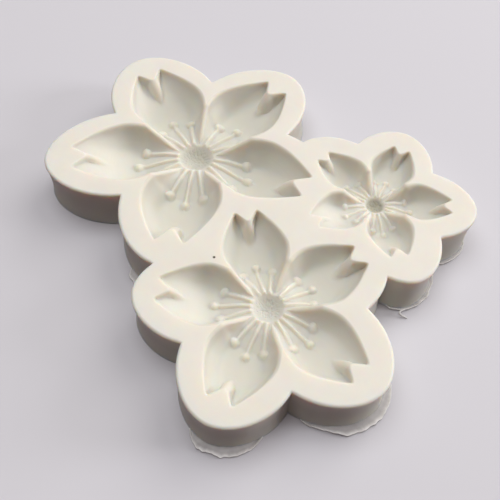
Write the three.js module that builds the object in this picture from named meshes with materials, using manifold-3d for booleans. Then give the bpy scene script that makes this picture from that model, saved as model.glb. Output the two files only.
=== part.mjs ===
// Silicone fondant mould: one soft casting with three cherry blossom hollows sunk into its top face,
// and the thin skins of silicone that crept out under its foot when it was poured.
// Millimetres, +Z up. The mould lies on z = 0 with its hollows facing up and its front towards -Y.
import * as THREE from 'three';
import { mergeVertices } from 'three/addons/utils/BufferGeometryUtils.js';
import Module from 'manifold-3d';

const wasm = await Module();
wasm.setup();

// The casting, and the free space kept between it and the skins round its foot.
const castingThickness = 10;
const skinThickness = 0.4;
const skinClearance = 0.3;

// Radius of each blossom, from its centre to its petal tips.
const largeRadius = 28;
const mediumRadius = 21.8;
const smallRadius = 16;

// Border of silicone outside the petal tips and beside the petals.
const largeTipBorder = 5.75;
const mediumTipBorder = 4.8;
const smallTipBorder = 6.1;
const largeSideBorder = 4.25;
const mediumSideBorder = 4.15;
const smallSideBorder = 4.6;

// Silicone left under the petal floors, and the rise of each blossom's hub above its floors.
const largeFloorThickness = 3.4;
const mediumFloorThickness = 5.1;
const smallFloorThickness = 5.1;
const largeHubRise = 1.8;
const mediumHubRise = 1.7;
const smallHubRise = 1.4;

// Stamens: diameter of the anther balls and of the filaments that carry them.
const largeAnther = 2;
const mediumAnther = 1.6;
const smallAnther = 1.2;
const largeFilament = 0.9;
const mediumFilament = 0.75;
const smallFilament = 0.6;

// Layout seen from above, in degrees anticlockwise from +X, and the webs left between the blossoms.
const largeTurn = 192.55;
const mediumTurn = 176.35;
const smallTurn = 137.1;
const mediumBearing = -65.8;
const smallBearing = -17.1;
const mediumWeb = 8.7;
const smallWeb = 7.25;

// Shape of one petal as shares of its blossom's radius, the same for every blossom.
const petalCount = 5;
const petalHalfTurn = Math.PI / petalCount;
const valleyShare = 0.477;
const flankControls = [[0.591, 0.353], [0.757, 0.274]];
const tipHalfAngle = THREE.MathUtils.degToRad(5.8);
const notchShare = 0.86;
const tongueEndShare = 0.76;
const petalHalfWidthShare = 0.305;
const bowlWidthShare = 0.17;
const ridgeFlankShare = 0.15;
const tongueFlankShare = 0.09;
const hubShare = 0.16;
const cupShare = 0.135;
const cupSagShare = 0.06;

// Height of the hollows' cutting solids above the top face.
const lidRise = 1;

// Shape of one border lobe: its centre along the petal, and the exponent of its superellipse.
const lobeCentreShare = 0.623;
const lobeExponent = 1.86;

// How the lobes round the petals stray from the even layout: the turn in degrees anticlockwise, and
// what is added to the border at the tip and at the sides.
const evenLobe = { turn: 0, tip: 0, side: 0 };
const largeLobes = [evenLobe, evenLobe, evenLobe, evenLobe, evenLobe];
const mediumLobes = [
  { turn: 2, tip: -0.3, side: -0.4 },
  evenLobe,
  evenLobe,
  { turn: 1.5, tip: 0.15, side: 0.55 },
  { turn: -0.5, tip: -0.35, side: 0.15 },
];
const smallLobes = [
  evenLobe,
  { turn: 3.1, tip: -0.75, side: 0 },
  { turn: -0.4, tip: -0.75, side: -0.15 },
  { turn: 4.2, tip: 0.35, side: 0.1 },
  evenLobe,
];

// The three stamens of a petal: turn off the petal's axis in degrees, and place of the anther. The
// floor slopes down from the hub to the nearest anthers.
const stamens = [[-18, 0.43], [0, 0.485], [18, 0.43]];
const antherSinkShare = 0.05;
const floorStartShare = Math.min(...stamens.map(([, share]) => share));

// The floor climbs again towards the petal's tip, from this share of the radius, until this share of
// its depth is gone at the tip.
const tipRiseStartShare = 0.5;
const tipRiseShare = 0.5;

// How finely round forms are divided.
const lobePoints = 40;
const hubSides = 32;
const cupSides = 20;
const cupRings = 24;
const filamentQuarters = 2;
const antherDetail = 1;
const threadQuarters = 3;
const threadSteps = 12;
const flankSteps = [0, 0.1, 0.25, 0.43, 0.64, 0.85, 1];
const ringShares = [1, 0.97, 0.92, 0.83, 0.7, 0.54, 0.37, 0.18, 0];
const flankSamples = 24;
const skinSteps = 24;

// Skins that show round the foot: the widest skin, the overlap that each starts with inside its
// lobe's foot, the stretch of the lobe that each takes in degrees, and its width at either end of
// the stretch as a share of the widest.
const skinWidth = 2.4;
const skinOverlap = 1;
const skins = [
  { name: 'foot_skin_medium_front', size: 'medium', petal: 4, from: -22, to: 52, shares: [0.71, 0.83] },
  { name: 'foot_skin_medium_right', size: 'medium', petal: 3, from: -72, to: 50, shares: [0.83, 0.71] },
  { name: 'foot_skin_small_front', size: 'small', petal: 3, from: -25, to: 62, shares: [0.29, 0.63] },
  { name: 'foot_skin_small_right', size: 'small', petal: 2, from: -64, to: -8, shares: [0.54, 0.38] },
  { name: 'foot_skin_tab', size: 'large', petal: 4, from: -42, to: -28, shares: [0.88, 0.88] },
];
const skinWaves = 5;
const skinWaveShare = 0.12;

// A thread of silicone pulled off the small front skin: its diameter, how far it reaches from the
// lobe's end, and its points along and across its petal as shares of that reach.
const threadDiameter = 0.5;
const threadReach = 3.3;
const threadPetal = 3;
const threadPoints = [[0.4, -0.12], [0.41, -0.36], [0.52, -0.58], [0.7, -0.45], [0.85, -0.18]];

const silicone = new THREE.MeshStandardMaterial({ color: 0xe8e2d4, roughness: 0.55, metalness: 0 });
const skinSilicone = new THREE.MeshStandardMaterial({
  color: 0xd6cec8,
  roughness: 0.35,
  metalness: 0,
  transparent: true,
  opacity: 0.6,
});

// Solids: meshes go in, are joined or cut, and come back as geometry.
function solidOf(geometry) {
  const bare = geometry.index ? geometry.toNonIndexed() : geometry.clone();
  bare.deleteAttribute('normal');
  bare.deleteAttribute('uv');
  const merged = mergeVertices(bare, 1e-4);
  const vertProperties = new Float32Array(merged.attributes.position.array);
  const triVerts = new Uint32Array(merged.index.array);
  return new wasm.Manifold(new wasm.Mesh({ numProp: 3, vertProperties, triVerts }));
}

function geometryOf(solid) {
  const mesh = solid.getMesh();
  const geometry = new THREE.BufferGeometry();
  geometry.setAttribute('position', new THREE.BufferAttribute(new Float32Array(mesh.vertProperties), 3));
  geometry.setIndex(new THREE.BufferAttribute(new Uint32Array(mesh.triVerts), 1));
  geometry.computeVertexNormals();
  return geometry;
}

function joined(solids) {
  return solids.reduce((whole, next) => whole.add(next));
}

// Layout of the blossoms. The medium one points a petal into a valley of the large one,
// and the large one points a petal into a valley of the small one.
function placeFrom(start, bearing, distance) {
  const angle = THREE.MathUtils.degToRad(bearing);
  return new THREE.Vector2(start.x + distance * Math.cos(angle), start.y + distance * Math.sin(angle));
}

const largePlace = new THREE.Vector2(0, 0);
const mediumSpacing = valleyShare * largeRadius + mediumRadius + mediumWeb;
const mediumPlace = placeFrom(largePlace, mediumBearing, mediumSpacing);
const smallSpacing = largeRadius + valleyShare * smallRadius + smallWeb;
const smallPlace = placeFrom(largePlace, smallBearing, smallSpacing);

const blossoms = {
  large: {
    place: largePlace,
    turn: largeTurn,
    lobes: largeLobes,
    radius: largeRadius,
    tipBorder: largeTipBorder,
    sideBorder: largeSideBorder,
    floorDepth: castingThickness - largeFloorThickness,
    hubDepth: castingThickness - largeFloorThickness - largeHubRise,
    anther: largeAnther,
    filament: largeFilament,
  },
  medium: {
    place: mediumPlace,
    turn: mediumTurn,
    lobes: mediumLobes,
    radius: mediumRadius,
    tipBorder: mediumTipBorder,
    sideBorder: mediumSideBorder,
    floorDepth: castingThickness - mediumFloorThickness,
    hubDepth: castingThickness - mediumFloorThickness - mediumHubRise,
    anther: mediumAnther,
    filament: mediumFilament,
  },
  small: {
    place: smallPlace,
    turn: smallTurn,
    lobes: smallLobes,
    radius: smallRadius,
    tipBorder: smallTipBorder,
    sideBorder: smallSideBorder,
    floorDepth: castingThickness - smallFloorThickness,
    hubDepth: castingThickness - smallFloorThickness - smallHubRise,
    anther: smallAnther,
    filament: smallFilament,
  },
};

// Direction of petal k, counted clockwise from above.
function petalAngle(blossom, k) {
  return THREE.MathUtils.degToRad(blossom.turn) - 2 * petalHalfTurn * k;
}

// A point given along and across petal k, in the plan of the whole mould.
function inPlan(blossom, k, along, across) {
  const angle = petalAngle(blossom, k);
  return new THREE.Vector2(along, across).rotateAround(new THREE.Vector2(), angle).add(blossom.place);
}

// A point given along and across the border lobe of petal k, in the plan of the whole mould.
function onLobe(blossom, k, along, across) {
  const turn = THREE.MathUtils.degToRad(blossom.lobes[k].turn);
  const turned = new THREE.Vector2(along, across).rotateAround(new THREE.Vector2(), turn);
  return inPlan(blossom, k, turned.x, turned.y);
}

function lobeEnd(blossom, k) {
  return blossom.radius + blossom.tipBorder + blossom.lobes[k].tip;
}

// Point of the border lobe of petal k at parameter u, moved outwards by grow.
function lobePoint(blossom, k, u, grow) {
  const centre = lobeCentreShare * blossom.radius;
  const halfLength = lobeEnd(blossom, k) - centre + grow;
  const border = blossom.sideBorder + blossom.lobes[k].side;
  const halfWidth = petalHalfWidthShare * blossom.radius + border + grow;
  const bend = (value) => Math.sign(value) * Math.abs(value) ** (2 / lobeExponent);
  return onLobe(blossom, k, centre + halfLength * bend(Math.cos(u)), halfWidth * bend(Math.sin(u)));
}

function extruded(points, height) {
  const settings = { depth: height, bevelEnabled: false };
  return solidOf(new THREE.ExtrudeGeometry(new THREE.Shape(points), settings));
}

function lobe(blossom, k, grow, height) {
  const points = [];
  for (let i = 0; i < lobePoints; i += 1) {
    points.push(lobePoint(blossom, k, (2 * Math.PI * i) / lobePoints, grow));
  }
  return extruded(points, height);
}

function hubDisc(blossom, height) {
  const radius = valleyShare * blossom.radius;
  const geometry = new THREE.CylinderGeometry(radius, radius, height, hubSides);
  geometry.rotateX(Math.PI / 2);
  geometry.translate(blossom.place.x, blossom.place.y, height / 2);
  return solidOf(geometry);
}

// The slab: a lobe round every petal, the hubs inside them and the web between the three blossoms.
function slab(grow, height) {
  const web = [blossoms.large.place, blossoms.medium.place, blossoms.small.place];
  const solids = [extruded(web, height)];
  for (const blossom of Object.values(blossoms)) {
    solids.push(hubDisc(blossom, height));
    for (let k = 0; k < petalCount; k += 1) {
      solids.push(lobe(blossom, k, grow, height));
    }
  }
  return joined(solids);
}

// Outline of half a petal: the flank from the valley to the tip, then the notch on the petal's axis.
function flankCurve(radius) {
  const valley = new THREE.Vector2(valleyShare, 0).rotateAround(new THREE.Vector2(), petalHalfTurn);
  const controls = flankControls.map(([x, y]) => new THREE.Vector2(x, y));
  const tip = new THREE.Vector2(Math.cos(tipHalfAngle), Math.sin(tipHalfAngle));
  const points = [valley, ...controls, tip].map((point) => point.multiplyScalar(radius));
  return new THREE.CubicBezierCurve(...points);
}

function distanceToLine(point, a, b) {
  const line = b.clone().sub(a);
  const share = THREE.MathUtils.clamp(point.clone().sub(a).dot(line) / line.lengthSq(), 0, 1);
  return point.distanceTo(a.clone().addScaledVector(line, share));
}

// Fall of a hollow's wall at a distance from its top edge: steep at the edge and level at its full width.
function bowlFall(distance, width) {
  const share = Math.min(distance / width, 1);
  return Math.sqrt(1 - (1 - share) ** 2);
}

// Depth at a distance beside a crest that falls to the floor.
function depthBeside(crest, floor, distance, width) {
  return crest + (floor - crest) * bowlFall(distance, width);
}

// Depth of a blossom's hollow under the top face, at a point given along and across a petal. It is the
// least that the petal's flank, the ridge beside the petal and the tongue under its notch leave.
function hollowDepth(blossom, flank, point) {
  const { radius, floorDepth, hubDepth } = blossom;
  const mirrored = new THREE.Vector2(point.x, Math.abs(point.y));
  const away = mirrored.length();
  const hub = hubShare * radius;
  const sink = THREE.MathUtils.clamp((away - hub) / (floorStartShare * radius - hub), 0, 1);
  const rise = tipRiseShare * THREE.MathUtils.smoothstep(away / radius, tipRiseStartShare, 1);
  const floor = THREE.MathUtils.lerp(hubDepth, floorDepth, sink) * (1 - rise);

  let toFlank = Infinity;
  for (let i = 1; i < flank.length; i += 1) {
    toFlank = Math.min(toFlank, distanceToLine(mirrored, flank[i - 1], flank[i]));
  }
  const byFlank = depthBeside(0, floor, toFlank, bowlWidthShare * radius);

  const toRidge = away * Math.sin(petalHalfTurn - mirrored.angle());
  const climb = THREE.MathUtils.clamp((away - hub) / (valleyShare * radius - hub), 0, 1);
  const byRidge = depthBeside(hubDepth * (1 - climb), floor, toRidge, ridgeFlankShare * radius);

  const tip = flank[flank.length - 1];
  const notch = new THREE.Vector2(notchShare * radius, 0);
  const tongueEnd = new THREE.Vector2(tongueEndShare * radius, 0);
  const tongueFlank = tongueFlankShare * radius;
  const byNotch = depthBeside(0, floor, distanceToLine(mirrored, tip, notch), tongueFlank);
  const slide = THREE.MathUtils.clamp((notch.x - mirrored.x) / (notch.x - tongueEnd.x), 0, 1);
  const toTongue = distanceToLine(mirrored, notch, tongueEnd);
  const byTongue = depthBeside(floor * slide, floor, toTongue, tongueFlank);
  return Math.min(byFlank, byRidge, byNotch, byTongue);
}

// Points of half a petal's outline, from its valley to its notch.
function halfOutline(radius) {
  const flank = flankCurve(radius);
  const points = flankSteps.map((t) => flank.getPoint(t));
  points.push(new THREE.Vector2(notchShare * radius, 0));
  return points;
}

// The whole outline of a blossom, anticlockwise, each point given along and across its own petal.
function blossomOutline(radius) {
  const half = halfOutline(radius);
  const mirrored = half.slice(0, -1).map((point) => new THREE.Vector2(point.x, -point.y));
  return [...mirrored, ...half.slice(1).reverse()];
}

// The space that a blossom hollows out of the casting, closed by a lid above the top face.
function hollow(blossom) {
  const { radius, hubDepth } = blossom;
  const flank = flankCurve(radius).getPoints(flankSamples);
  const outline = blossomOutline(radius);
  const lidHeight = castingThickness + lidRise;
  const rings = [[], ...ringShares.map(() => [])];
  for (let k = petalCount - 1; k >= 0; k -= 1) {
    for (const rim of outline) {
      const onTop = inPlan(blossom, k, rim.x, rim.y);
      rings[0].push(new THREE.Vector3(onTop.x, onTop.y, lidHeight));
      ringShares.forEach((share, i) => {
        const away = THREE.MathUtils.lerp(hubShare * radius, rim.length(), share);
        const point = rim.clone().setLength(away);
        const depth = share === 1 ? 0 : hollowDepth(blossom, flank, point);
        const spot = inPlan(blossom, k, point.x, point.y);
        rings[i + 1].push(new THREE.Vector3(spot.x, spot.y, castingThickness - depth));
      });
    }
  }
  const positions = [];
  const triangle = (a, b, c) => positions.push(...a.toArray(), ...b.toArray(), ...c.toArray());
  const lid = new THREE.Vector3(blossom.place.x, blossom.place.y, lidHeight);
  const pit = new THREE.Vector3(blossom.place.x, blossom.place.y, castingThickness - hubDepth);
  const count = rings[0].length;
  for (let i = 0; i < count; i += 1) {
    const next = (i + 1) % count;
    triangle(lid, rings[0][i], rings[0][next]);
    for (let j = 1; j < rings.length; j += 1) {
      triangle(rings[j - 1][i], rings[j][i], rings[j][next]);
      triangle(rings[j - 1][i], rings[j][next], rings[j - 1][next]);
    }
    triangle(pit, rings[rings.length - 1][next], rings[rings.length - 1][i]);
  }
  const geometry = new THREE.BufferGeometry();
  geometry.setAttribute('position', new THREE.Float32BufferAttribute(positions, 3));
  return solidOf(geometry);
}

// The round dish in the middle of a blossom's hub: the cap of a ball.
function cup(blossom) {
  const radius = cupShare * blossom.radius;
  const sag = cupSagShare * blossom.radius;
  const ball = (radius ** 2 + sag ** 2) / (2 * sag);
  const geometry = new THREE.SphereGeometry(ball, cupSides, cupRings);
  geometry.translate(blossom.place.x, blossom.place.y, castingThickness - blossom.hubDepth + ball - sag);
  return solidOf(geometry);
}

// One stamen, raised from the petal's floor: a filament from the hub and the anther ball at its end.
function stamen(blossom, k, turn, antherShare) {
  const { radius, hubDepth, floorDepth } = blossom;
  const angle = petalAngle(blossom, k) + THREE.MathUtils.degToRad(turn);
  const at = (away, height) => new THREE.Vector3(
    blossom.place.x + away * Math.cos(angle),
    blossom.place.y + away * Math.sin(angle),
    height,
  );
  const floor = castingThickness - floorDepth;
  const antherCentre = at(antherShare * radius, floor - antherSinkShare * blossom.anther);
  const start = at(hubShare * radius, castingThickness - hubDepth);
  const path = new THREE.LineCurve3(start, at(antherShare * radius, floor));
  const section = new THREE.Shape().absarc(0, 0, blossom.filament / 2, 0, 2 * Math.PI);
  const settings = { steps: 1, curveSegments: filamentQuarters, extrudePath: path };
  const filament = new THREE.ExtrudeGeometry(section, settings);
  const anther = new THREE.OctahedronGeometry(blossom.anther / 2, antherDetail);
  anther.translate(...antherCentre.toArray());
  return solidOf(filament).add(solidOf(anther));
}

function mouldBody() {
  let body = slab(0, castingThickness);
  for (const blossom of Object.values(blossoms)) {
    body = body.subtract(hollow(blossom)).subtract(cup(blossom));
    for (let k = 0; k < petalCount; k += 1) {
      body = body.add(joined(stamens.map(([turn, share]) => stamen(blossom, k, turn, share))));
    }
  }
  return body;
}

// One skin: a wavy band from inside a lobe's foot to its free edge, cut back clear of the casting.
function footSkin({ size, petal, from, to, shares }, casting) {
  const blossom = blossoms[size];
  const inner = [];
  const outer = [];
  for (let i = 0; i <= skinSteps; i += 1) {
    const share = i / skinSteps;
    const u = THREE.MathUtils.degToRad(THREE.MathUtils.lerp(from, to, share));
    const wave = 1 + skinWaveShare * Math.sin(2 * Math.PI * skinWaves * share);
    const swell = Math.sqrt(Math.sin(Math.PI * share));
    const width = skinWidth * THREE.MathUtils.lerp(...shares, share) * wave * swell;
    outer.push(lobePoint(blossom, petal, u, width));
    inner.push(lobePoint(blossom, petal, u, -skinOverlap));
  }
  return extruded([...outer, ...inner.reverse()], skinThickness).subtract(casting);
}

// The loose thread, lying on the same surface as the casting and cut back clear of it.
function footThread(casting) {
  const blossom = blossoms.small;
  const end = lobeEnd(blossom, threadPetal);
  const points = threadPoints.map(([along, across]) => {
    const spot = onLobe(blossom, threadPetal, end + threadReach * along, threadReach * across);
    return new THREE.Vector3(spot.x, spot.y, threadDiameter / 2);
  });
  const path = new THREE.CatmullRomCurve3(points);
  const section = new THREE.Shape().absarc(0, 0, threadDiameter / 2, 0, 2 * Math.PI);
  const settings = { steps: threadSteps, curveSegments: threadQuarters, extrudePath: path };
  return solidOf(new THREE.ExtrudeGeometry(section, settings)).subtract(casting);
}

function piece(name, geometry, material) {
  const mesh = new THREE.Mesh(geometry, material);
  mesh.name = name;
  return mesh;
}

const pieces = new THREE.Group();
pieces.add(piece('mould_body', geometryOf(mouldBody()), silicone));
const casting = slab(skinClearance, castingThickness);
for (const skin of skins) {
  pieces.add(piece(skin.name, geometryOf(footSkin(skin, casting)), skinSilicone));
}
pieces.add(piece('foot_skin_thread', geometryOf(footThread(casting)), skinSilicone));

// The origin is under the middle of the whole mould.
const middle = new THREE.Box3().setFromObject(pieces).getCenter(new THREE.Vector3());
pieces.position.set(-middle.x, -middle.y, 0);

const mould = new THREE.Group();
mould.add(pieces);

export default mould;
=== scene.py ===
import math

import bmesh
import bpy
import numpy as np
from mathutils import Matrix, Vector, noise


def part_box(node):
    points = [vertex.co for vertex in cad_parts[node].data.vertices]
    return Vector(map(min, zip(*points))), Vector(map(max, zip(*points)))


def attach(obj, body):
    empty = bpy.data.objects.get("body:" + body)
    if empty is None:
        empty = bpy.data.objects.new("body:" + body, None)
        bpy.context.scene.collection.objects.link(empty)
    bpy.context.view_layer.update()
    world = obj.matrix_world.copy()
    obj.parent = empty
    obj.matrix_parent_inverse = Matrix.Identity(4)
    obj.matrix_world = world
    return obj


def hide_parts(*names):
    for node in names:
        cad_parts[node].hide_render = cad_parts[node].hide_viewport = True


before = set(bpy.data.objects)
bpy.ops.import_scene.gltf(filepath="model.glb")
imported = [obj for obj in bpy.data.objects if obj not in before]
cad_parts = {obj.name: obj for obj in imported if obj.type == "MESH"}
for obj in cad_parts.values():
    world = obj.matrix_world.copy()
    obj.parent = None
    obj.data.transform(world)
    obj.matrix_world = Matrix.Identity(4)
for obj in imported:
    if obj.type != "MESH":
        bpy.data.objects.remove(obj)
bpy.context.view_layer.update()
mm = 0.001
print("frame loaded:", sorted(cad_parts))


# Sizes are in mm and angles in degrees. A blossom's turn is where its first petal points, anticlockwise
# from +X, and what is listed petal by petal goes on clockwise from there. A lobe strays from the even
# layout by a turn and by what its tip and sides gain.
# cupShade and tipShade set how strongly each blossom's cup and petal tips are darkened with painted shade.
blossoms = {
    "large": {
        "radius": 28.0,
        "turn": 192.55,
        "tipBorder": 5.75,
        "sideBorder": 4.25,
        "hubDepth": 4.8,
        "floorDepths": (6.6, 6.5, 6.5, 6.8, 6.9),
        "tipRises": (0.84, 0.52, 0.4, 0.45, 0.4),
        "anther": 2.0,
        "filament": 0.9,
        "flankSteps": 31,
        "notchSteps": 7,
        "cupShade": 0.3,
        "tipShade": 0.5,
        "lobes": ((0, 0, 0), (0, 0, 0), (0, 0, 0), (0, 0, 0), (0, 0, 0)),
    },
    "medium": {
        "radius": 21.8,
        "turn": 176.35,
        "tipBorder": 4.8,
        "sideBorder": 4.15,
        "hubDepth": 3.2,
        "floorDepths": (5.2, 5.8, 5.5, 4.7, 5.2),
        "tipRises": (0.72, 0.36, 0.34, 0.42, 0.36),
        "anther": 1.6,
        "filament": 0.75,
        "flankSteps": 27,
        "notchSteps": 6,
        "cupShade": 0.12,
        "tipShade": 1.0,
        "lobes": ((2, -0.3, -0.4), (0, 0, 0), (0, 0, 0), (1.5, 0.15, 0.55), (-0.5, -0.35, 0.15)),
    },
    "small": {
        "radius": 16.0,
        "turn": 137.1,
        "tipBorder": 6.1,
        "sideBorder": 4.6,
        "hubDepth": 3.5,
        "floorDepths": (4.7, 4.7, 4.7, 4.7, 3.8),
        "tipRises": (0.55, 0.36, 0.52, 0.6, 0.82),
        "anther": 1.2,
        "filament": 0.6,
        "flankSteps": 23,
        "notchSteps": 5,
        "cupShade": 1.0,
        "tipShade": 0.8,
        "lobes": ((0, 0, 0), (3.1, -0.75, 0), (-0.4, -0.75, -0.15), (4.2, 0.35, 0.1), (0, 0, 0)),
    },
}
layout = {"mediumBearing": -65.8, "mediumWeb": 8.7, "smallBearing": -17.1, "smallWeb": 7.25}

# One petal, its lengths as shares of the blossom's radius.
petal = {
    "count": 5,
    "valley": 0.477,
    "flankControls": ((0.591, 0.353), (0.757, 0.274)),
    "tipAngle": 5.8,
    "tipSmoothing": 2,
    "notch": 0.86,
    "middle": 0.66,
    "halfWidth": 0.305,
    "bowl": 0.215,
    "bowlTipLoss": 0.1,
    "ridgeFlank": 0.15,
    "tongueEnd": 0.725,
    "tongueFlank": 0.07,
    "tongueRound": 0.05,
    "tonguePower": 1.2,
    "tipRiseStart": 0.5,
    # Painted shade in the petal tips: how far it reaches, the bearing it is strongest towards, and its
    # least share.
    "tipShadeReach": 0.135,
    "tipShadeBearing": 75,
    "tipShadeEven": 0.35,
    "hub": 0.16,
    "blendRun": 0.1,
    "cup": 0.135,
    "cupSag": 0.07,
    "cupSpread": 1.1,
    "cupPower": 1.3,
    # how far in from the cup's edge the painted shade of the cup fades in
    "cupShadeEdge": 0.25,
}
petalTurn = 360 / petal["count"]
lobe = {"centre": 0.623, "exponent": 1.86}


def placeFrom(start, bearing, distance):
    angle = math.radians(bearing)
    return start + distance * np.array([math.cos(angle), math.sin(angle)])


def layBlossoms():
    large, medium, small = (blossoms[size] for size in ("large", "medium", "small"))
    large["place"] = np.zeros(2)
    mediumSpacing = petal["valley"] * large["radius"] + medium["radius"] + layout["mediumWeb"]
    medium["place"] = placeFrom(large["place"], layout["mediumBearing"], mediumSpacing)
    smallSpacing = large["radius"] + petal["valley"] * small["radius"] + layout["smallWeb"]
    small["place"] = placeFrom(large["place"], layout["smallBearing"], smallSpacing)


def turned(points, degrees):
    angle = math.radians(degrees)
    cos, sin = math.cos(angle), math.sin(angle)
    return points @ np.array([[cos, sin], [-sin, cos]])


def inPlan(blossom, k, points, stray=0.0):
    # from along and across petal k to the plan
    return turned(np.asarray(points, float), blossom["turn"] - petalTurn * k + stray) + blossom["place"]


def lobeSize(blossom, k, grow=0.0):
    stray, tip, side = blossom["lobes"][k]
    centre = lobe["centre"] * blossom["radius"]
    halfLength = blossom["radius"] + blossom["tipBorder"] + tip - centre + grow
    halfWidth = petal["halfWidth"] * blossom["radius"] + blossom["sideBorder"] + side + grow
    return stray, centre, halfLength, halfWidth


def bent(value):
    return np.sign(value) * np.abs(value) ** (2 / lobe["exponent"])


def lobePoints(blossom, k, u, grow=0.0):
    stray, centre, halfLength, halfWidth = lobeSize(blossom, k, grow)
    local = np.stack([centre + halfLength * bent(np.cos(u)), halfWidth * bent(np.sin(u))], -1)
    return inPlan(blossom, k, local, stray)


def insideLobe(blossom, k, points):
    stray, centre, halfLength, halfWidth = lobeSize(blossom, k)
    local = turned(points - blossom["place"], petalTurn * k - blossom["turn"] - stray)
    along = np.abs((local[:, 0] - centre) / halfLength)
    across = np.abs(local[:, 1] / halfWidth)
    return along ** lobe["exponent"] + across ** lobe["exponent"] < 1


def insideWeb(points):
    corners = [blossoms[size]["place"] for size in ("large", "medium", "small")]
    sides = []
    for i in range(3):
        a, b = corners[i], corners[(i + 1) % 3]
        sides.append((b[0] - a[0]) * (points[:, 1] - a[1]) - (b[1] - a[1]) * (points[:, 0] - a[0]))
    sides = np.array(sides)
    return np.all(sides > 0, 0) | np.all(sides < 0, 0)


# Outline of the casting: the free arcs of the fifteen lobes, joined end to end at the valleys.
outlineSteps = {"search": 720, "halvings": 40, "arc": 400, "spacing": 0.62}
everyLobe = [(size, k) for size in blossoms for k in range(petal["count"])]


def isFree(own, u):
    points = lobePoints(blossoms[own[0]], own[1], u)
    hidden = insideWeb(points)
    for blossom in blossoms.values():
        hidden |= np.linalg.norm(points - blossom["place"], axis=1) < petal["valley"] * blossom["radius"]
    for other in everyLobe:
        if other != own:
            hidden |= insideLobe(blossoms[other[0]], other[1], points)
    return ~hidden


def freeEnd(own, free, hidden):
    for _ in range(outlineSteps["halvings"]):
        middle = (free + hidden) / 2
        if isFree(own, np.array([middle]))[0]:
            free = middle
        else:
            hidden = middle
    return free


def lobeArcs():
    arcs = []
    steps = outlineSteps["search"]
    step = 2 * math.pi / steps
    u = np.arange(steps) * step
    for own in everyLobe:
        free = isFree(own, u)
        for i in range(steps):
            if free[i] and not free[i - 1]:
                length = 1
                while free[(i + length) % steps]:
                    length += 1
                first = freeEnd(own, u[i], u[i] - step)
                last = freeEnd(own, u[i] + (length - 1) * step, u[i] + length * step)
                arcs.append((own, first, last))
    return arcs


def lengthsAlong(points):
    return np.concatenate([[0], np.cumsum(np.linalg.norm(np.diff(points, axis=0), axis=1))])


def spaced(points, lengths, at):
    return np.stack([np.interp(at, lengths, points[:, axis]) for axis in (0, 1)], -1)


def castingOutline():
    arcs = []
    for own, first, last in lobeArcs():
        points = lobePoints(blossoms[own[0]], own[1], np.linspace(first, last, outlineSteps["arc"]))
        lengths = lengthsAlong(points)
        steps = max(3, round(lengths[-1] / outlineSteps["spacing"]))
        points = spaced(points, lengths, np.linspace(0, lengths[-1], steps + 1))
        along = np.gradient(points, axis=0)
        normals = np.stack([along[:, 1], -along[:, 0]], -1)
        normals /= np.linalg.norm(normals, axis=1, keepdims=True)
        arcs.append((points, normals))
    chain = [arcs.pop(0)]
    widest = 0.0
    while arcs:
        gaps = [np.linalg.norm(points[0] - chain[-1][0][-1]) for points, _ in arcs]
        nearest = int(np.argmin(gaps))
        widest = max(widest, gaps[nearest])
        chain.append(arcs.pop(nearest))
    points, normals = [], []
    for i, (arcPoints, arcNormals) in enumerate(chain):
        middle = arcNormals[0] + chain[i - 1][1][-1]
        points.append(arcPoints[:-1])
        normals.append(np.concatenate([[middle / np.linalg.norm(middle)], arcNormals[1:-1]]))
    print("outline:", len(chain), "arcs, widest gap %.4f mm" % widest)
    return np.concatenate(points), np.concatenate(normals)


layBlossoms()
outlinePoints, outlineNormals = castingOutline()
bodyLow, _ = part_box("mould_body")
shift = np.array(bodyLow[:2]) / mm - outlinePoints.min(0)
for blossom in blossoms.values():
    blossom["place"] = blossom["place"] + shift
outlinePoints = outlinePoints + shift
outlineLow, outlineHigh = outlinePoints.min(0).round(2), outlinePoints.max(0).round(2)
print("outline:", len(outlinePoints), "points,", outlineLow, "to", outlineHigh)


# Helpers for the pieces.
def gridOn(bm, spots, marks):
    # lays a grid's corners on spots[column, row], given in mm, and stores each mark with them
    columns, rows = spots.shape[0] - 1, spots.shape[1] - 1
    layers = [(bm.verts.layers.float[name], values) for name, values in marks.items()]
    for vert in bmesh.ops.create_grid(bm, x_segments=columns, y_segments=rows, size=1.0)["verts"]:
        i = round((vert.co.x + 1) / 2 * columns)
        j = round((vert.co.y + 1) / 2 * rows)
        vert.co = Vector(spots[i, j]) * mm
        for layer, values in layers:
            vert[layer] = values[i, j]


def pieceFrom(bm, name, node, finish):
    for face in bm.faces:
        face.smooth = True
    mesh = bpy.data.meshes.new(name)
    bm.to_mesh(mesh)
    bm.free()
    mesh.materials.append(finish)
    piece = bpy.data.objects.new(name, mesh)
    bpy.context.scene.collection.objects.link(piece)
    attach(piece, "root")
    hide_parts(node)
    return piece


def softMin(a, b, reach):
    share = np.clip(0.5 + 0.5 * (b - a) / np.maximum(reach, 1e-6), 0, 1)
    return b + (a - b) * share - reach * share * (1 - share)


def softMax(a, b, reach):
    return -softMin(-a, -b, reach)


def noiseAt(points, size, seed=0.0):
    offset = Vector((seed, seed * 1.7, seed * 0.6))
    flat = points.reshape(-1, 3)
    values = [noise.noise(Vector(point) / size + offset) for point in flat]
    return np.array(values).reshape(points.shape[:-1])


# A wrapped socket takes arithmetic, and every other node comes from the finish's node method.
class Wire:
    def __init__(self, tree, socket):
        self.tree = tree
        self.socket = socket

    def maths(self, operation, first, second):
        made = self.tree.nodes.new("ShaderNodeMath")
        made.operation = operation
        for socket, value in zip(made.inputs, (first, second)):
            if isinstance(value, Wire):
                self.tree.links.new(value.socket, socket)
            else:
                socket.default_value = value
        return Wire(self.tree, made.outputs[0])

    def __add__(self, other):
        return self.maths("ADD", self, other)

    def __radd__(self, other):
        return self.maths("ADD", other, self)

    def __sub__(self, other):
        return self.maths("SUBTRACT", self, other)

    def __rsub__(self, other):
        return self.maths("SUBTRACT", other, self)

    def __mul__(self, other):
        return self.maths("MULTIPLY", self, other)

    def __rmul__(self, other):
        return self.maths("MULTIPLY", other, self)


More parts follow.
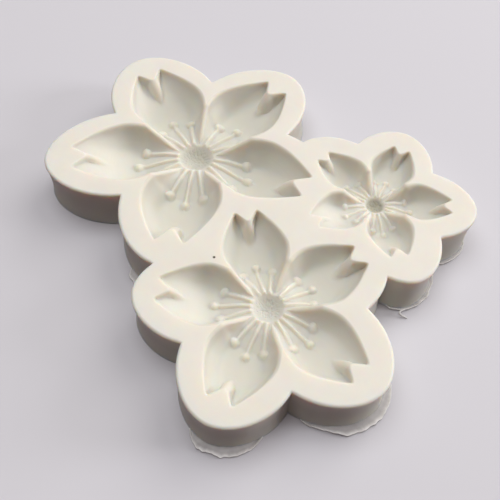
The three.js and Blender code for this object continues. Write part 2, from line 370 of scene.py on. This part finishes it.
class Finish:
    def __init__(self, name):
        self.material = bpy.data.materials.new(name)
        self.material.use_nodes = True
        self.tree = self.material.node_tree
        self.tree.nodes.clear()

    def node(self, kind, settings, sockets, output=0):
        made = self.tree.nodes.new(kind)
        for key, value in settings.items():
            setattr(made, key, value)
        for key, value in sockets.items():
            if isinstance(value, Wire):
                self.tree.links.new(value.socket, made.inputs[key])
            else:
                made.inputs[key].default_value = value
        return Wire(self.tree, made.outputs[output]) if made.outputs else made

    def place(self):
        return self.node("ShaderNodeTexCoord", {}, {}, "Object")

    def mark(self, name):
        return self.node("ShaderNodeAttribute", {"attribute_name": name}, {}, "Fac")

    def noise(self, size, detail=2.0, roughness=0.5, stretch=(1, 1, 1)):
        # features about size mm across
        spot = self.node("ShaderNodeVectorMath", {"operation": "MULTIPLY"}, {0: self.place(), 1: stretch})
        sockets = {"Vector": spot, "Scale": 1 / (size * mm), "Detail": detail, "Roughness": roughness}
        return self.node("ShaderNodeTexNoise", {}, sockets, "Fac")

    def between(self, value, low, high):
        # 0 at low and 1 at high
        sockets = {"Value": value, "From Min": low, "From Max": high}
        return self.node("ShaderNodeMapRange", {"interpolation_type": "SMOOTHSTEP"}, sockets, "Result")

    def mix(self, share, first, second):
        return self.node("ShaderNodeMix", {"data_type": "RGBA"}, {0: share, 6: first, 7: second}, 2)

    def show(self, surface):
        self.node("ShaderNodeOutputMaterial", {}, {"Surface": surface})
        return self.material


# Silicone of the casting: cream, soft and satin, with a fine grain. The darker colours in the hollows, at
# the lips, in the petal tips and in the cups are painted shade. Each bump is a noise's size, detail,
# roughness and stretch, then the bump's strength and height.
siliconeLook = {
    "top": (0.788, 0.762, 0.684, 1),
    "topWarm": (0.775, 0.745, 0.662, 1),
    # hollow is painted shade, deeper in the hollows and reaching up to their lips; tip and cup are painted
    # shade too
    "hollow": (0.664, 0.650, 0.570, 1),
    "hollowHeights": (4.0, 9.6),
    "lipPaintedShade": 0.7,
    "tip": (0.560, 0.470, 0.325, 1),
    "cup": (0.470, 0.445, 0.350, 1),
    "cloud": (9.0, 3.0),
    "cloudRange": (0.35, 0.7),
    "speck": (0.050, 0.035, 0.030, 1),
    "speckAt": (-7.7 * mm, -12.7 * mm, 10.0 * mm),
    "speckRadii": (0.36, 0.16),
    "roughness": 0.54,
    "roughnessSway": 0.12,
    "roughnessNoise": (1.6, 2.0),
    "scatterRadius": (2.2 * mm, 1.5 * mm, 0.9 * mm),
    "refraction": 1.41,
    "bumps": (
        ((0.22, 3.0, 0.6, (1, 1, 1)), 0.2, 0.04),
        ((4.0, 1.0, 0.5, (1, 1, 1)), 0.25, 0.25),
        ((9.0, 2.0, 0.5, (1, 1, 16)), 0.3, 0.1),
    ),
}


def siliconeFinish():
    look = siliconeLook
    finish = Finish("creamSilicone")
    height = finish.node("ShaderNodeSeparateXYZ", {}, {"Vector": finish.place()}, "Z")
    deep, shallow = look["hollowHeights"]
    # painted shade: the hollow colour grows with depth and also covers the lips near the rim
    depth = 1 - finish.between(height, deep * mm, shallow * mm)
    depth = depth.maths("MAXIMUM", depth, look["lipPaintedShade"] * finish.mark("hollowShadeShare"))
    cloud = finish.between(finish.noise(*look["cloud"]), *look["cloudRange"])
    colour = finish.mix(cloud, look["top"], look["topWarm"])
    colour = finish.mix(depth, colour, look["hollow"])
    colour = finish.mix(finish.mark("tipShadeShare"), colour, look["tip"])
    colour = finish.mix(finish.mark("cupShare"), colour, look["cup"])
    ends = {0: finish.place(), 1: look["speckAt"]}
    away = finish.node("ShaderNodeVectorMath", {"operation": "DISTANCE"}, ends, "Value")
    clear, full = look["speckRadii"]
    colour = finish.mix(finish.between(away, clear * mm, full * mm), colour, look["speck"])
    normal = finish.node("ShaderNodeNewGeometry", {}, {}, "Normal")
    for wave, strength, rise in look["bumps"]:
        grain = finish.noise(*wave)
        sockets = {"Strength": strength, "Distance": rise * mm, "Height": grain, "Normal": normal}
        normal = finish.node("ShaderNodeBump", {}, sockets, "Normal")
    sway = finish.noise(*look["roughnessNoise"]) - 0.5
    surface = finish.node("ShaderNodeBsdfPrincipled", {}, {
        "Base Color": colour,
        "Roughness": look["roughness"] + look["roughnessSway"] * sway,
        "Subsurface Weight": 1.0,
        "Subsurface Radius": look["scatterRadius"],
        "Subsurface Scale": 1.0,
        "IOR": look["refraction"],
        "Normal": normal,
    })
    return finish.show(surface)


# Casting: three hollows and the outer wall, each laid on a grid, joined by a flat top and underside.
# The rows of a hollow run from outside the rim, at 1, to the hub, at 0, and then to the cup's middle.
castingShape = {
    "thickness": 10.0,
    "lipRound": 0.85,
    "lipTipLoss": 0.5,
    "lipLimit": 0.45,
    "lipReach": 0.5,
    "lipReachRun": 0.3,
    "lipShadeRun": 0.5,
    "crestRound": 0.6,
    "wallPower": 0.7,
    "blend": 0.8,
    "blendLimit": 0.6,
    "rimRows": (
        1.012, 1.0, 0.997, 0.992, 0.985, 0.976, 0.965, 0.95, 0.93, 0.905, 0.875, 0.84,
        0.8, 0.76, 0.715, 0.67, 0.625, 0.58, 0.54,
    ),
    "topRows": 2,
    "floorRows": (0.5, 0, 33),
    "cupRows": (0.963, 0, 27),
    "grainRise": 0.13,
    "grains": ((1.0, 0.42, 3.0), (0.6, 0.55 * 0.42, 8.0)),
    "edgeRound": 0.55,
    "edgeBands": (0.4, 0.06),
    "edgeTurns": (0, 18, 36, 54, 72, 90),
    "wallHeights": (9.2, 8.5, 7.6, 6.6, 5.5, 4.4, 3.3, 2.3, 1.4, 0.7, 0.25),
    "wallSink": 0.32,
    "wallWave": 0.06,
    "wallWaveSquash": (1, 1, 0.5),
    "wallWaveNoise": (3.5, 7.0),
    "footFlare": 0.25,
    "footRound": 0.1,
    "footBand": 0.8,
    "merge": 0.002,
    "crease": 38,
    "creaseBelow": 9.5,
}

# Stamens of each petal, each with its turn and its length as a share of the radius. The other values are
# shares of half the filament's or the anther's thickness.
stamen = {
    "places": ((-18, 0.43), (0, 0.485), (18, 0.43)),
    "filamentSpread": 1.5,
    "filamentRise": 1.15,
    "filamentPower": 1.5,
    "antherSpread": 1.18,
    "antherRise": 0.88,
    "antherPower": 0.78,
    "blend": 0.15,
}


def halfOutline(blossom):
    # Half a petal from its valley along the flank to the tip, then down to the notch, in mm. The lip's
    # rounding starts a little outside the petal.
    angle = math.radians(petalTurn / 2)
    tip = math.radians(petal["tipAngle"])
    corners = [
        (petal["valley"] * math.cos(angle), petal["valley"] * math.sin(angle)),
        *petal["flankControls"],
        (math.cos(tip), math.sin(tip)),
    ]
    a, b, c, d = (np.array(corner) * blossom["radius"] for corner in corners)
    t = np.linspace(0, 1, outlineSteps["arc"])[:, None]
    flank = a * (1 - t) ** 3 + 3 * b * t * (1 - t) ** 2 + 3 * c * t ** 2 * (1 - t) + d * t ** 3
    lengths = lengthsAlong(flank)
    flank = spaced(flank, lengths, np.linspace(0, lengths[-1], blossom["flankSteps"] + 1))
    notch = np.array([petal["notch"] * blossom["radius"], 0])
    steps = np.linspace(0, 1, blossom["notchSteps"] + 1)[1:, None]
    line = np.concatenate([flank, d + (notch - d) * steps])
    for _ in range(petal["tipSmoothing"]):
        whole = np.concatenate([line, line[-2:-1] * (1, -1)])  # with the mirrored neighbour of the notch
        line[1:] = (whole[:-2] + 2 * whole[1:-1] + whole[2:]) / 4
    centre = np.array([petal["middle"] * blossom["radius"], 0])
    grow = castingShape["lipReach"] / (petal["halfWidth"] * blossom["radius"])
    run = castingShape["lipReachRun"] * blossom["flankSteps"]
    grow = grow * np.clip(np.arange(len(line)) / run, 0, 1)
    return centre + (line - centre) * (1 + grow[:, None])


def distanceToLine(points, line):
    nearest = np.full(points.shape[:-1], np.inf)
    for a, b in zip(line[:-1], line[1:]):
        along = b - a
        share = np.clip(((points - a) @ along) / (along @ along), 0, 1)
        nearest = np.minimum(nearest, np.linalg.norm(points - a - share[..., None] * along, axis=-1))
    return nearest


def fall(distance, width, depth, lip):
    # a rounded lip, then a wall that drops steeply and runs out level
    lip = np.minimum(lip, castingShape["lipLimit"] * depth)
    rounded = lip - np.sqrt(np.maximum(lip ** 2 - np.minimum(distance, lip) ** 2, 0))
    share = np.clip((distance - lip) / (width - lip), 0, 1)
    bowl = lip + (depth - lip) * (1 - (1 - share) ** 2) ** castingShape["wallPower"]
    return np.where(distance < lip, rounded, bowl)


def stamenLift(blossom, away, angle):
    # height of the stamens over the floor, starting at the cup
    lift = np.zeros_like(away)
    size = blossom["radius"]
    filament, anther = blossom["filament"] / 2, blossom["anther"] / 2
    for turn, share in stamen["places"]:
        along = away * np.cos(angle - math.radians(turn))
        across = away * np.sin(angle - math.radians(turn))
        beyond = np.maximum(along - share * size, 0)
        off = np.hypot(across, beyond) / (stamen["filamentSpread"] * filament)
        thread = np.clip(1 - off ** 2, 0, 1) ** stamen["filamentPower"]
        thread = stamen["filamentRise"] * filament * thread
        off = np.hypot(across, along - share * size) / (stamen["antherSpread"] * anther)
        ball = np.clip(1 - off ** 2, 0, 1) ** stamen["antherPower"]
        ball = stamen["antherRise"] * anther * ball
        reach = np.minimum(stamen["blend"] * anther, np.maximum(thread, ball))
        lift = np.maximum(lift, softMax(thread, ball, reach))
    start, end = petal["cup"] * size, petal["hub"] * size
    return lift * np.clip((away - start) / (end - start), 0, 1)


def cupDepth(blossom, away):
    cup = petal["cupSpread"] * petal["cup"] * blossom["radius"]
    return petal["cupSag"] * blossom["radius"] * np.clip(1 - (away / cup) ** 2, 0, 1) ** petal["cupPower"]


def hollowDepth(blossom, k, half, away, angles):
    shape = castingShape
    size = blossom["radius"]
    hub, hubDepth = petal["hub"] * size, blossom["hubDepth"]
    local = np.stack([away * np.cos(angles), away * np.sin(np.abs(angles))], -1)
    nearest = min(share for _, share in stamen["places"])
    sink = np.clip((away - hub) / (nearest * size - hub), 0, 1)
    rise = np.clip((away / size - petal["tipRiseStart"]) / (1 - petal["tipRiseStart"]), 0, 1)
    rise = rise ** 2 * (3 - 2 * rise)
    floor = hubDepth + (blossom["floorDepths"][k] - hubDepth) * sink
    floor = floor * (1 - blossom["tipRises"][k] * rise)
    lip = shape["lipRound"] * (1 - shape["lipTipLoss"] * rise)
    flank, notch = half[:blossom["flankSteps"] + 1], half[blossom["flankSteps"]:]
    bowl = petal["bowl"] * size * (1 - petal["bowlTipLoss"] * rise)
    byWall = fall(distanceToLine(local, flank), bowl, floor, lip)
    # ridge between two petals, from the valley down to the hub
    aside = np.maximum(away * np.sin(math.radians(petalTurn / 2) - np.abs(angles)), 0)
    crest = hubDepth * (1 - np.clip((away - hub) / (petal["valley"] * size - hub), 0, 1))
    byRidge = crest + fall(aside, petal["ridgeFlank"] * size, floor - crest, shape["crestRound"])
    # tongue that runs down from the notch to the floor
    tongueFlank, tongueRound = petal["tongueFlank"] * size, petal["tongueRound"] * size
    atNotch = fall(distanceToLine(local, notch), tongueFlank, floor, lip)
    start = notch[-1, 0]
    length = start - petal["tongueEnd"] * size
    share = np.clip((start - local[..., 0]) / length, 0, 1)
    aside = np.hypot(start - share * length - local[..., 0], local[..., 1])
    crest = floor * share ** petal["tonguePower"]
    depth = crest + fall(aside, tongueFlank, floor - crest, tongueRound)
    soft = shape["blend"] * np.clip((away - hub) / (petal["blendRun"] * size), 0, 1)
    for other in (atNotch, byWall, byRidge):
        depth = softMin(depth, other, np.minimum(soft, shape["blendLimit"] * np.minimum(depth, other)))
    return depth


def roundBlossom(columns):
    # one petal's columns for every petal, and the first again to close the ring
    return np.concatenate([columns] * petal["count"] + [columns[:1]])


def tipShades(blossom, columns):
    # how strongly painted shade darkens each column's tip, least on the side that faces the front
    even = petal["tipShadeEven"]
    bearings = blossom["turn"] + petalTurn * np.arange(petal["count"]) - petal["tipShadeBearing"]
    shades = blossom["tipShade"] * np.clip(even + (1 - even) * np.cos(np.radians(bearings)), 0, 1)
    shades = np.repeat(shades, columns)
    return np.append(shades, shades[0])[:, None]


def hollowSpots(blossom):
    shape = castingShape
    half = halfOutline(blossom)
    rim = np.concatenate([half * (1, -1), half[-2:0:-1]])  # one petal, anticlockwise
    hub = petal["hub"] * blossom["radius"]
    reach = np.linalg.norm(rim, axis=1)[:, None]
    outer = np.concatenate([shape["rimRows"], np.linspace(*shape["floorRows"])])
    inner = np.linspace(*shape["cupRows"])
    away = hub + (reach - hub) * outer[None, :]
    away = np.concatenate([away, np.repeat(hub * inner[None, :], len(rim), 0)], 1)
    angles = np.repeat(np.arctan2(rim[:, 1], rim[:, 0])[:, None], away.shape[1], 1)
    local = np.stack([away * np.cos(angles), away * np.sin(angles)], -1)
    spots = []
    for k in range(0, -petal["count"], -1):
        depth = hollowDepth(blossom, k, half, away, angles)
        depth[:, len(outer) - 1:] = blossom["hubDepth"]
        depth = depth - stamenLift(blossom, away, angles) + cupDepth(blossom, away)
        depth[:, :shape["topRows"]] = 0
        plan = inPlan(blossom, k, local.reshape(-1, 2)).reshape(local.shape)
        spots.append(np.concatenate([plan, shape["thickness"] - depth[..., None]], -1))
    spots = np.concatenate(spots + [spots[0][:1]])
    # cupShare shapes both the cup's grain and the painted shade of the cup
    cup = petal["cup"] * blossom["radius"]
    cupShare = roundBlossom(np.clip((cup - away) / (petal["cupShadeEdge"] * cup), 0, 1))
    # share of painted shade from the rim inwards, so the lips get the hollow's painted shade
    hollowShadeShare = np.clip((reach - away) / (shape["lipShadeRun"] * shape["lipRound"]), 0, 1)
    # painted shade in the tips, fading with distance from the tip point
    tip = half[blossom["flankSteps"]]
    toTip = np.hypot(local[..., 0] - tip[0], np.abs(local[..., 1]) - tip[1])
    tipShadeShare = np.clip(1 - toTip / (petal["tipShadeReach"] * blossom["radius"]), 0, 1) * hollowShadeShare
    dish = slice(-len(inner), None)
    flat = spots[:, dish] * (1, 1, 0)
    grain = sum(weight * noiseAt(flat, size, seed) for weight, size, seed in shape["grains"])
    spots[:, dish, 2] += shape["grainRise"] * cupShare[:, dish] * grain
    spots[-1] = spots[0]
    spots[:, -1] = spots[:, -1].mean(0)
    marks = {
        "cupShare": cupShare * blossom["cupShade"],
        "hollowShadeShare": roundBlossom(hollowShadeShare),
        "tipShadeShare": roundBlossom(tipShadeShare) * tipShades(blossom, len(rim)),
    }
    return spots, marks


def wallSpots():
    shape = castingShape
    top, edge = shape["thickness"], shape["edgeRound"]
    flare, foot = shape["footFlare"], shape["footRound"]
    rows = [(edge + band, top) for band in shape["edgeBands"]]
    for turn in np.radians(shape["edgeTurns"]):
        rows.append((edge * (1 - math.sin(turn)), top - edge * (1 - math.cos(turn))))
    for height in shape["wallHeights"]:
        share = height / top
        rows.append((4 * shape["wallSink"] * share * (1 - share) - flare * (1 - share) ** 3, height))
    rows += [(-flare, foot), (foot - flare, 0.0), (shape["footBand"], 0.0)]
    spots = np.zeros((len(outlinePoints), len(rows), 3))
    for j, (inset, height) in enumerate(rows):
        spots[:, j, :2] = outlinePoints - inset * outlineNormals
        spots[:, j, 2] = height
    sway = shape["wallWave"] * noiseAt(spots * shape["wallWaveSquash"], *shape["wallWaveNoise"])
    free = np.array([height in shape["wallHeights"] for _, height in rows], float)
    spots[..., :2] += (sway * free)[..., None] * outlineNormals[:, None, :]
    return np.concatenate([spots, spots[:1]])


def makeCasting(finish):
    shape = castingShape
    bm = bmesh.new()
    for mark in ("cupShare", "hollowShadeShare", "tipShadeShare"):
        bm.verts.layers.float.new(mark)
    for blossom in blossoms.values():
        gridOn(bm, *hollowSpots(blossom))
    gridOn(bm, wallSpots(), {})
    bmesh.ops.remove_doubles(bm, verts=bm.verts, dist=shape["merge"] * mm)
    rims = [edge for edge in bm.edges if edge.is_boundary]
    middle = shape["thickness"] / 2 * mm
    topRims = [edge for edge in rims if edge.verts[0].co.z > middle]
    footRims = [edge for edge in rims if edge.verts[0].co.z < middle]
    for edges in (topRims, footRims):
        bmesh.ops.triangle_fill(bm, use_beauty=True, use_dissolve=False, edges=edges)
    bmesh.ops.recalc_face_normals(bm, faces=bm.faces)
    for edge in bm.edges:
        if edge.is_manifold and edge.calc_face_angle() > math.radians(shape["crease"]):
            edge.smooth = all(vert.co.z > shape["creaseBelow"] * mm for vert in edge.verts)
    loose = [edge for edge in bm.edges if not edge.is_manifold]
    print("casting:", len(bm.verts), "verts,", len(bm.faces), "faces, open edges", len(loose))
    pieceFrom(bm, "casting", "mould_body", finish)


# Foot skins: thin films with a ragged free edge. Each edge is given as places round its lobe in
# degrees and the film's width there, and a flap as its place, rise and reach.
filmLook = {
    "colour": (0.72, 0.70, 0.69, 1),
    # the lighter, denser edge is the thicker bead of silicone and partly a painted highlight along it
    "edge": (0.90, 0.89, 0.87, 1),
    "edgeRange": (0.55, 1.0),
    "opacity": 0.4,
    "edgeOpacity": 0.45,
    "cloud": (2.4, 2.0),
    "cloudRange": (0.3, 0.7),
    "cloudOpacity": 0.12,
    "roughness": 0.16,
    "cloudRoughness": 0.1,
    "ripple": (1.2, 1.0),
    "rippleStrength": 0.35,
    "rippleRise": 0.12,
    "refraction": 1.41,
}
filmShape = {
    "thick": 0.2,
    "columns": 110,
    "rows": (0, 0.14, 0.3, 0.46, 0.6, 0.72, 0.82, 0.9, 0.96, 1.0),
    "tuck": 0.1,
    "tuckRise": 0.35,
    "bead": 0.12,
    "beadStart": 0.72,
    "clearance": 0.02,
    "trailStep": 0.16,
    "ragged": ((0.12, 0.6, 0.0), (0.05, 0.2, 2.0)),
    "curlNoise": (1.3, 5.0),
}
films = {
    "foot_skin_medium_front": {
        "size": "medium", "petal": 4, "curl": 0.25, "seed": 1.0,
        "edge": (
            (-22, 0.2), (-13, 1.55), (-6, 1.95), (8, 1.75), (16, 2.15), (26, 2.1), (34, 1.65), (41, 1.5),
            (48, 0.6), (52, 0.2),
        ),
    },
    "foot_skin_medium_right": {
        "size": "medium", "petal": 3, "curl": 0.35, "seed": 2.0,
        "edge": (
            (-72, 0.2), (-67, 0.75), (-50, 1.1), (-43, 1.6), (-37, 2.1), (-24, 1.95), (16, 1.75), (31, 1.5),
            (44, 0.9), (56, 0.7), (62, 0.2),
        ),
    },
    "foot_skin_small_front": {
        "size": "small", "petal": 3, "curl": 0.3, "seed": 3.0, "flaps": ((71, 0.7, 3),),
        "edge": (
            (-25, 0.2), (-20, 0.7), (-2, 0.75), (10, 0.75), (16, 0.9), (24, 0.85), (32, 1.15), (40, 0.8),
            (50, 1.0), (58, 0.8), (66, 0.7), (72, 1.0), (76, 0.2),
        ),
    },
    "foot_skin_small_right": {
        "size": "small", "petal": 2, "curl": 0.15, "seed": 4.0,
        "edge": ((-64, 0.2), (-56, 1.0), (-42, 1.0), (-29, 0.85), (-18, 0.6), (-8, 0.15)),
    },
    "foot_skin_tab": {
        "size": "large", "petal": 4, "curl": 0.2, "seed": 5.0,
        "edge": ((-42, 0.3), (-38, 1.7), (-36, 1.9), (-30, 1.9), (-29, 0.6), (-28, 0.2)),
    },
}


def filmFinish():
    look = filmLook
    finish = Finish("filmSilicone")
    rim = finish.between(finish.mark("rimShare"), *look["edgeRange"])
    cloud = finish.between(finish.noise(*look["cloud"]), *look["cloudRange"])
    ripple = finish.noise(*look["ripple"])
    sockets = {"Strength": look["rippleStrength"], "Distance": look["rippleRise"] * mm, "Height": ripple}
    surface = finish.node("ShaderNodeBsdfPrincipled", {}, {
        "Base Color": finish.mix(rim, look["colour"], look["edge"]),
        "Roughness": look["roughness"] + look["cloudRoughness"] * cloud,
        "Alpha": look["opacity"] + look["cloudOpacity"] * cloud + look["edgeOpacity"] * rim,
        "IOR": look["refraction"],
        "Normal": finish.node("ShaderNodeBump", {}, sockets, "Normal"),
    })
    return finish.show(surface)


def makeFilm(name, film, finish):
    shape = filmShape
    blossom = blossoms[film["size"]]
    places = np.array(film["edge"])
    u = np.linspace(places[0, 0], places[-1, 0], shape["columns"] + 1)
    trail = np.stack([u * shape["trailStep"], np.full_like(u, film["seed"]), np.zeros_like(u)], -1)
    sway = 1
    for weight, size, seed in shape["ragged"]:
        sway = sway + weight * noiseAt(trail, size, seed)
    width = np.interp(u, places[:, 0], places[:, 1]) * sway
    lift = np.maximum(film["curl"] * (0.5 + noiseAt(trail, *shape["curlNoise"])), 0)
    for at, rise, reach in film.get("flaps", ()):
        lift += rise * np.exp(-((u - at) / reach) ** 2)
    spots = np.zeros((len(u), len(shape["rows"]), 3))
    for j, share in enumerate(shape["rows"]):
        out = -shape["tuck"] + (width + shape["tuck"]) * share
        spots[:, j, :2] = [lobePoints(blossom, film["petal"], math.radians(a), o) for a, o in zip(u, out)]
        climb = shape["tuckRise"] * (1 - share) ** 3
        climb += shape["bead"] * max(0, share - shape["beadStart"]) / (1 - shape["beadStart"])
        spots[:, j, 2] = shape["thick"] + shape["clearance"] + lift * share ** 2 + climb
    bm = bmesh.new()
    bm.verts.layers.float.new("rimShare")
    gridOn(bm, spots, {"rimShare": np.repeat(np.array(shape["rows"])[None, :], len(u), 0)})
    bmesh.ops.recalc_face_normals(bm, faces=bm.faces)
    if sum(face.normal.z for face in bm.faces) < 0:
        bmesh.ops.reverse_faces(bm, faces=bm.faces)
    piece = pieceFrom(bm, name.replace("foot_skin", "film"), name, finish)
    solid = piece.modifiers.new("thickness", "SOLIDIFY")
    solid.thickness = shape["thick"] * mm
    solid.offset = -1


# Thread pulled off the small front film, its points along and across its petal from the lobe's end.
threadShape = {
    "petal": 3,
    "thick": 0.42,
    "points": ((0.7, -0.2), (0.9, -1.0), (1.2, -1.8), (1.7, -1.9), (2.2, -1.3), (2.7, -0.6)),
    "heights": (0.3, 0.55, 0.75, 0.65, 0.4, 0.22),
    "steps": 33,
    "smoothing": 6,
    "around": 12,
    "taper": 0.35,
    # mostly the films' edge colour, so partly a painted highlight
    "rimShare": 0.85,
    "merge": 0.001,
}


def makeThread(finish):
    shape = threadShape
    blossom = blossoms["small"]
    stray, centre, halfLength, _ = lobeSize(blossom, shape["petal"])
    given = np.array(shape["points"]) + (centre + halfLength, 0)
    plan = inPlan(blossom, shape["petal"], given, stray)
    knots = np.arange(len(given))
    t = np.linspace(0, len(given) - 1, shape["steps"])
    path = np.stack([np.interp(t, knots, values) for values in (*plan.T, shape["heights"])], -1)
    for _ in range(shape["smoothing"]):
        path[1:-1] = (path[:-2] + 2 * path[1:-1] + path[2:]) / 4
    around = shape["around"]
    spots = np.zeros((around + 1, len(path), 3))
    for j, point in enumerate(path):
        ahead = Vector(path[min(j + 1, len(path) - 1)] - path[max(j - 1, 0)]).normalized()
        side = ahead.cross(Vector((0, 0, 1))).normalized()
        up = side.cross(ahead)
        toEnd = abs(2 * j / (len(path) - 1) - 1)
        thick = shape["thick"] / 2 * (1 - shape["taper"] * toEnd ** 3)
        for i in range(around + 1):
            angle = 2 * math.pi * i / around
            spots[i, j] = Vector(point) + thick * (math.cos(angle) * side + math.sin(angle) * up)
    spots[-1] = spots[0]
    bm = bmesh.new()
    bm.verts.layers.float.new("rimShare")
    gridOn(bm, spots, {"rimShare": np.full(spots.shape[:2], shape["rimShare"])})
    bmesh.ops.remove_doubles(bm, verts=bm.verts, dist=shape["merge"] * mm)
    bmesh.ops.holes_fill(bm, edges=bm.edges, sides=around)
    bmesh.ops.recalc_face_normals(bm, faces=bm.faces)
    pieceFrom(bm, "film_thread", "foot_skin_thread", finish)


makeCasting(siliconeFinish())
clearSilicone = filmFinish()
for name, film in films.items():
    makeFilm(name, film, clearSilicone)
makeThread(clearSilicone)
print("pieces made")


# Table that the mould lies on, pale and plain. What it throws back on the mould is darker than it looks.
tableLook = {
    "seen": (0.62, 0.61, 0.64, 1),
    "bounce": (0.11, 0.085, 0.1, 1),
    "roughness": 0.8,
    "halfWidth": 700,
}


def makeTable():
    finish = Finish("paleTable")
    seen = finish.node("ShaderNodeLightPath", {}, {}, "Is Camera Ray")
    glossy = finish.node("ShaderNodeLightPath", {}, {}, "Is Glossy Ray")
    clear = finish.node("ShaderNodeLightPath", {}, {}, "Is Transmission Ray")
    settings = {"operation": "ADD", "use_clamp": True}
    share = finish.node("ShaderNodeMath", settings, {0: seen + glossy, 1: clear})
    colour = finish.mix(share, tableLook["bounce"], tableLook["seen"])
    sockets = {"Base Color": colour, "Roughness": tableLook["roughness"]}
    surface = finish.node("ShaderNodeBsdfPrincipled", {}, sockets)
    bm = bmesh.new()
    bmesh.ops.create_grid(bm, x_segments=1, y_segments=1, size=tableLook["halfWidth"] * mm)
    mesh = bpy.data.meshes.new("table")
    bm.to_mesh(mesh)
    bm.free()
    mesh.materials.append(finish.show(surface))
    table = bpy.data.objects.new("table", mesh)
    bpy.context.scene.collection.objects.link(table)


# Lights: a wide window behind on the right, a soft sky above, a small lamp at the side and a dim room.
lamps = {
    "window": {"at": (640, 660, 900), "size": 1000, "power": 8.0, "colour": (1.0, 0.98, 0.95)},
    "sky": {"at": (-150, 120, 900), "size": 800, "power": 5.6, "colour": (0.97, 0.985, 1.0)},
    "side": {"at": (900, 80, 300), "size": 300, "power": 3.7, "colour": (0.97, 0.96, 1.0)},
}
room = {"colour": (1.0, 0.72, 0.70, 1), "strength": 0.11}


def makeLights():
    for name, lamp in lamps.items():
        light = bpy.data.lights.new(name, "AREA")
        light.shape = "DISK"
        light.size = lamp["size"] * mm
        light.energy = lamp["power"]
        light.color = lamp["colour"]
        holder = bpy.data.objects.new(name, light)
        bpy.context.scene.collection.objects.link(holder)
        at = Vector(lamp["at"]) * mm
        holder.location = at
        holder.rotation_euler = (-at).to_track_quat("-Z", "Y").to_euler()
    world = bpy.data.worlds.new("room")
    bpy.context.scene.world = world
    world.use_nodes = True
    background = world.node_tree.nodes["Background"]
    background.inputs["Color"].default_value = room["colour"]
    background.inputs["Strength"].default_value = room["strength"]


# Camera, looking down over the front edge.
shot = {
    "target": (-0.654, -10.508, 10.0),
    "distance": 114.4,
    "elevation": 55.64,
    "roll": 3.12,
    "lens": 41.02,
    "sensor": 36,
    "nearest": 5,
}


def makeCamera():
    tilt, roll = math.radians(shot["elevation"]), math.radians(shot["roll"])
    forward = Vector((0, math.cos(tilt), -math.sin(tilt)))
    level = Vector((1, 0, 0))
    upright = Vector((0, math.sin(tilt), math.cos(tilt)))
    right = math.cos(roll) * level + math.sin(roll) * upright
    up = math.cos(roll) * upright - math.sin(roll) * level
    data = bpy.data.cameras.new("camera")
    data.lens = shot["lens"]
    data.sensor_width = shot["sensor"]
    data.clip_start = shot["nearest"] * mm
    camera = bpy.data.objects.new("camera", data)
    bpy.context.scene.collection.objects.link(camera)
    camera.matrix_world = Matrix((right, up, -forward)).transposed().to_4x4()
    camera.location = (Vector(shot["target"]) - shot["distance"] * forward) * mm
    bpy.context.scene.camera = camera


makeTable()
makeLights()
makeCamera()
bpy.context.scene.view_settings.view_transform = "Standard"
print("table, lights and camera set")
